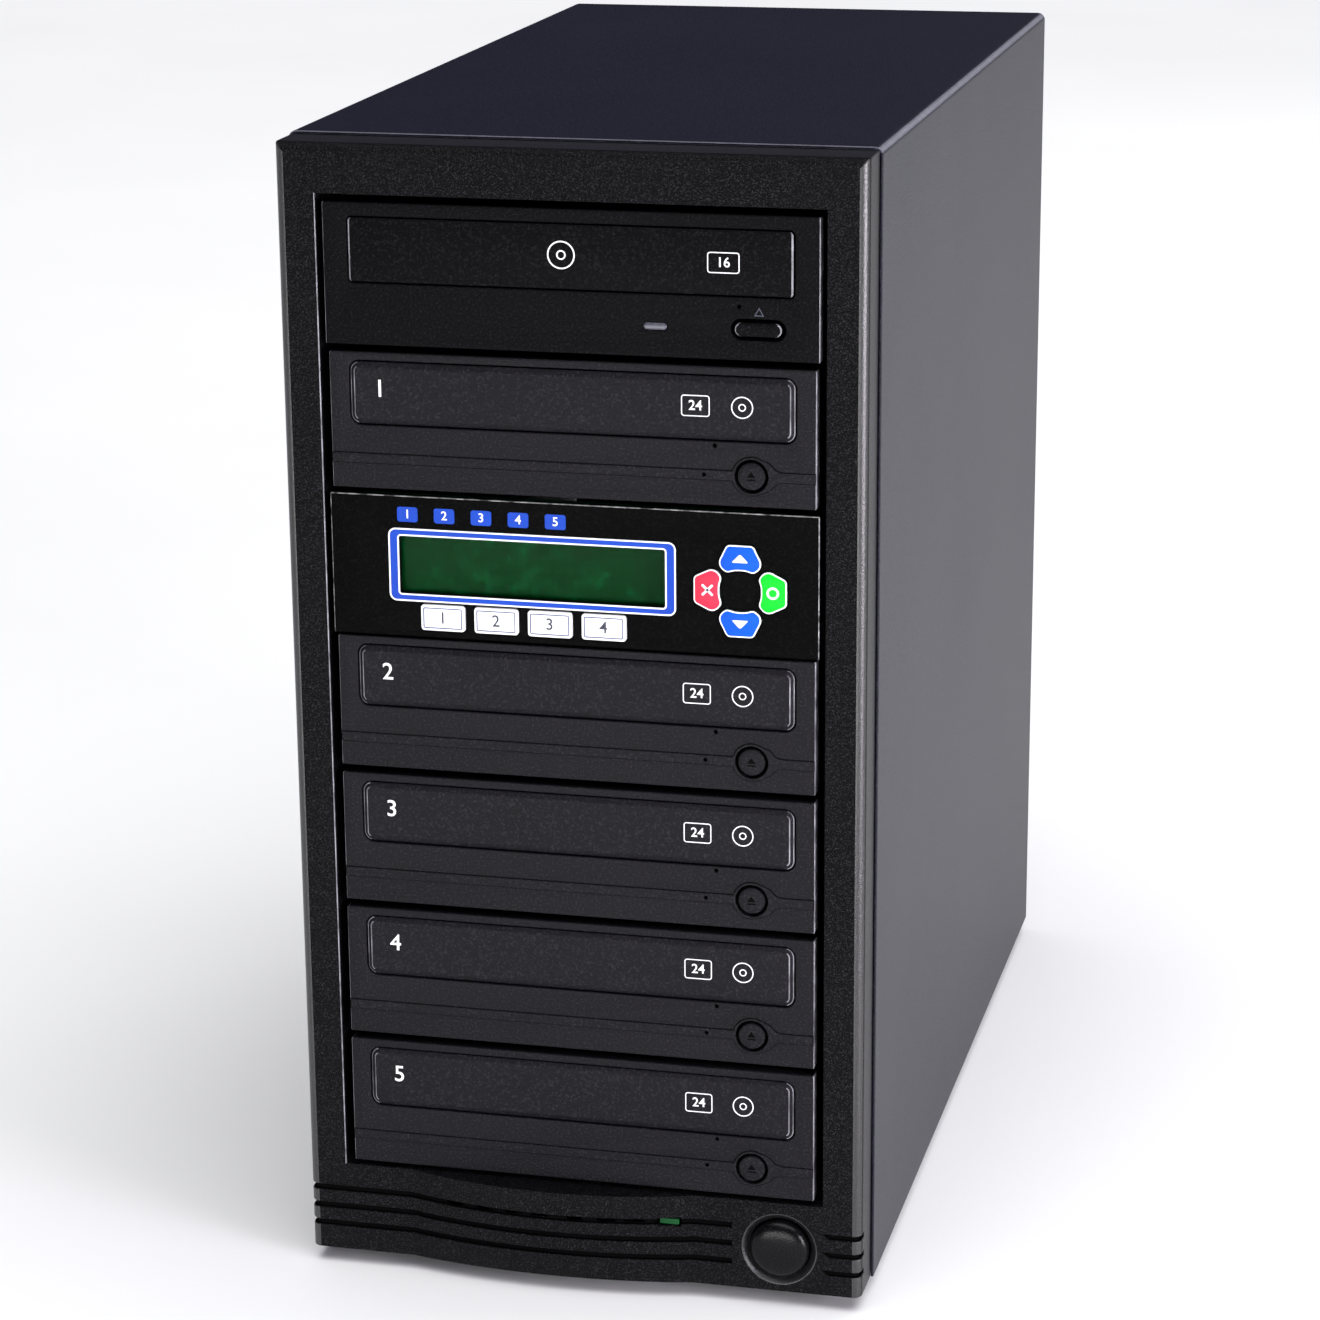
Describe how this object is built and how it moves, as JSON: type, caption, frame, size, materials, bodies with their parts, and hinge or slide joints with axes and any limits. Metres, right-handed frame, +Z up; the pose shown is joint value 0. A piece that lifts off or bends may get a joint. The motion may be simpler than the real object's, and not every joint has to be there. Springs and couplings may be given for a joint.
{
  "type": "disc duplicator tower",
  "caption": "Upright black steel case with a stack of tray-loading disc drives, a display and key panel, a power button, a power supply and a rear fan.",
  "frame": {"origin": "on the surface that the tower stands on, under the middle of its box", "axes": "+X to the right as seen from the front, +Y from the front to the back, +Z up"},
  "size_m": [0.1804, 0.3578, 0.3606],
  "materials": {
    "powder_coat": "fine-textured black powder coat on sheet steel",
    "bezel_plastic": "fine-grained black moulded plastic",
    "face_plastic": "fine-grained charcoal plastic",
    "panel_plastic": "smooth near-black overlay with a worn edge",
    "tray_plastic": "satin dark grey plastic",
    "display_glass": "clear green window",
    "display_module": "dark green character display",
    "circuit_board": "green solder mask",
    "white_key": "satin white key",
    "blue_key": "satin blue key",
    "red_key": "satin red key",
    "green_key": "satin green key",
    "green_lamp": "clear green light guide",
    "steel": "zinc-plated sheet steel",
    "black_plastic": "black moulded plastic",
    "rubber": "black rubber"
  },
  "bodies": {
    "tower": {"cage_left": "steel", "cage_right": "steel", "case_cover": "powder_coat", "chassis_floor": "steel", "controller_board": "circuit_board", "controller_panel": "panel_plastic", "display_module": "display_module", "display_window": "display_glass", "foot_front_left": "rubber", "foot_front_right": "rubber", "foot_rear_left": "rubber", "foot_rear_right": "rubber", "front_bezel": "bezel_plastic", "power_inlet": "black_plastic", "power_light": "green_lamp", "reader_body": "steel", "reader_face": "face_plastic", "rear_fan_frame": "black_plastic", "rear_panel": "steel", "supply_case": "steel", "writer_1_body": "steel", "writer_1_face": "face_plastic", "writer_2_body": "steel", "writer_2_face": "face_plastic", "writer_3_body": "steel", "writer_3_face": "face_plastic", "writer_4_body": "steel", "writer_4_face": "face_plastic", "writer_5_body": "steel", "writer_5_face": "face_plastic"},
    "reader_tray": {"reader_tray": "tray_plastic", "reader_tray_door": "face_plastic"},
    "reader_eject_button": {"reader_eject_button": "face_plastic"},
    "writer_1_tray": {"writer_1_tray": "tray_plastic", "writer_1_tray_door": "face_plastic"},
    "writer_1_eject_button": {"writer_1_eject_button": "face_plastic"},
    "writer_2_tray": {"writer_2_tray": "tray_plastic", "writer_2_tray_door": "face_plastic"},
    "writer_2_eject_button": {"writer_2_eject_button": "face_plastic"},
    "writer_3_tray": {"writer_3_tray": "tray_plastic", "writer_3_tray_door": "face_plastic"},
    "writer_3_eject_button": {"writer_3_eject_button": "face_plastic"},
    "writer_4_tray": {"writer_4_tray": "tray_plastic", "writer_4_tray_door": "face_plastic"},
    "writer_4_eject_button": {"writer_4_eject_button": "face_plastic"},
    "writer_5_tray": {"writer_5_tray": "tray_plastic", "writer_5_tray_door": "face_plastic"},
    "writer_5_eject_button": {"writer_5_eject_button": "face_plastic"},
    "function_key_1": {"function_key_1": "white_key"},
    "function_key_2": {"function_key_2": "white_key"},
    "function_key_3": {"function_key_3": "white_key"},
    "function_key_4": {"function_key_4": "white_key"},
    "up_key": {"up_key": "blue_key"},
    "left_key": {"left_key": "red_key"},
    "down_key": {"down_key": "blue_key"},
    "right_key": {"right_key": "green_key"},
    "power_button": {"power_button": "bezel_plastic"},
    "supply_switch": {"supply_switch": "black_plastic"},
    "supply_fan_rotor": {"supply_fan_rotor": "black_plastic"},
    "rear_fan_rotor": {"rear_fan_rotor": "black_plastic"}
  },
  "joints": [
    {"name": "reader_tray_slide", "type": "slide", "parent": "tower", "child": "reader_tray", "axis": [0, -1, 0], "range_m": [0, 0.14]},
    {"name": "reader_eject_press", "type": "slide", "parent": "tower", "child": "reader_eject_button", "axis": [0, 1, 0], "range_m": [0, 0.001], "stiffness_N_per_m": 900},
    {"name": "writer_1_tray_slide", "type": "slide", "parent": "tower", "child": "writer_1_tray", "axis": [0, -1, 0], "range_m": [0, 0.14]},
    {"name": "writer_1_eject_press", "type": "slide", "parent": "tower", "child": "writer_1_eject_button", "axis": [0, 1, 0], "range_m": [0, 0.001], "stiffness_N_per_m": 900},
    {"name": "writer_2_tray_slide", "type": "slide", "parent": "tower", "child": "writer_2_tray", "axis": [0, -1, 0], "range_m": [0, 0.14]},
    {"name": "writer_2_eject_press", "type": "slide", "parent": "tower", "child": "writer_2_eject_button", "axis": [0, 1, 0], "range_m": [0, 0.001], "stiffness_N_per_m": 900},
    {"name": "writer_3_tray_slide", "type": "slide", "parent": "tower", "child": "writer_3_tray", "axis": [0, -1, 0], "range_m": [0, 0.14]},
    {"name": "writer_3_eject_press", "type": "slide", "parent": "tower", "child": "writer_3_eject_button", "axis": [0, 1, 0], "range_m": [0, 0.001], "stiffness_N_per_m": 900},
    {"name": "writer_4_tray_slide", "type": "slide", "parent": "tower", "child": "writer_4_tray", "axis": [0, -1, 0], "range_m": [0, 0.14]},
    {"name": "writer_4_eject_press", "type": "slide", "parent": "tower", "child": "writer_4_eject_button", "axis": [0, 1, 0], "range_m": [0, 0.001], "stiffness_N_per_m": 900},
    {"name": "writer_5_tray_slide", "type": "slide", "parent": "tower", "child": "writer_5_tray", "axis": [0, -1, 0], "range_m": [0, 0.14]},
    {"name": "writer_5_eject_press", "type": "slide", "parent": "tower", "child": "writer_5_eject_button", "axis": [0, 1, 0], "range_m": [0, 0.001], "stiffness_N_per_m": 900},
    {"name": "function_key_1_press", "type": "slide", "parent": "tower", "child": "function_key_1", "axis": [0, 1, 0], "range_m": [0, 0.0004], "stiffness_N_per_m": 1500},
    {"name": "function_key_2_press", "type": "slide", "parent": "tower", "child": "function_key_2", "axis": [0, 1, 0], "range_m": [0, 0.0004], "stiffness_N_per_m": 1500},
    {"name": "function_key_3_press", "type": "slide", "parent": "tower", "child": "function_key_3", "axis": [0, 1, 0], "range_m": [0, 0.0004], "stiffness_N_per_m": 1500},
    {"name": "function_key_4_press", "type": "slide", "parent": "tower", "child": "function_key_4", "axis": [0, 1, 0], "range_m": [0, 0.0004], "stiffness_N_per_m": 1500},
    {"name": "up_key_press", "type": "slide", "parent": "tower", "child": "up_key", "axis": [0, 1, 0], "range_m": [0, 0.0004], "stiffness_N_per_m": 1500},
    {"name": "left_key_press", "type": "slide", "parent": "tower", "child": "left_key", "axis": [0, 1, 0], "range_m": [0, 0.0004], "stiffness_N_per_m": 1500},
    {"name": "down_key_press", "type": "slide", "parent": "tower", "child": "down_key", "axis": [0, 1, 0], "range_m": [0, 0.0004], "stiffness_N_per_m": 1500},
    {"name": "right_key_press", "type": "slide", "parent": "tower", "child": "right_key", "axis": [0, 1, 0], "range_m": [0, 0.0004], "stiffness_N_per_m": 1500},
    {"name": "power_press", "type": "slide", "parent": "tower", "child": "power_button", "axis": [0, 1, 0], "range_m": [0, 0.0025], "stiffness_N_per_m": 800},
    {"name": "supply_switch_rock", "type": "hinge", "parent": "tower", "child": "supply_switch", "pos_m": [0.05, 0.17365, 0.0643], "axis": [1, 0, 0], "range_deg": [-18, 0]},
    {"name": "supply_fan_spin", "type": "hinge", "parent": "tower", "child": "supply_fan_rotor", "pos_m": [-0.028, 0.16385, 0.0493], "axis": [0, 1, 0], "continuous": true},
    {"name": "rear_fan_spin", "type": "hinge", "parent": "tower", "child": "rear_fan_rotor", "pos_m": [0, 0.16165, 0.255], "axis": [0, 1, 0], "continuous": true}
  ]
}
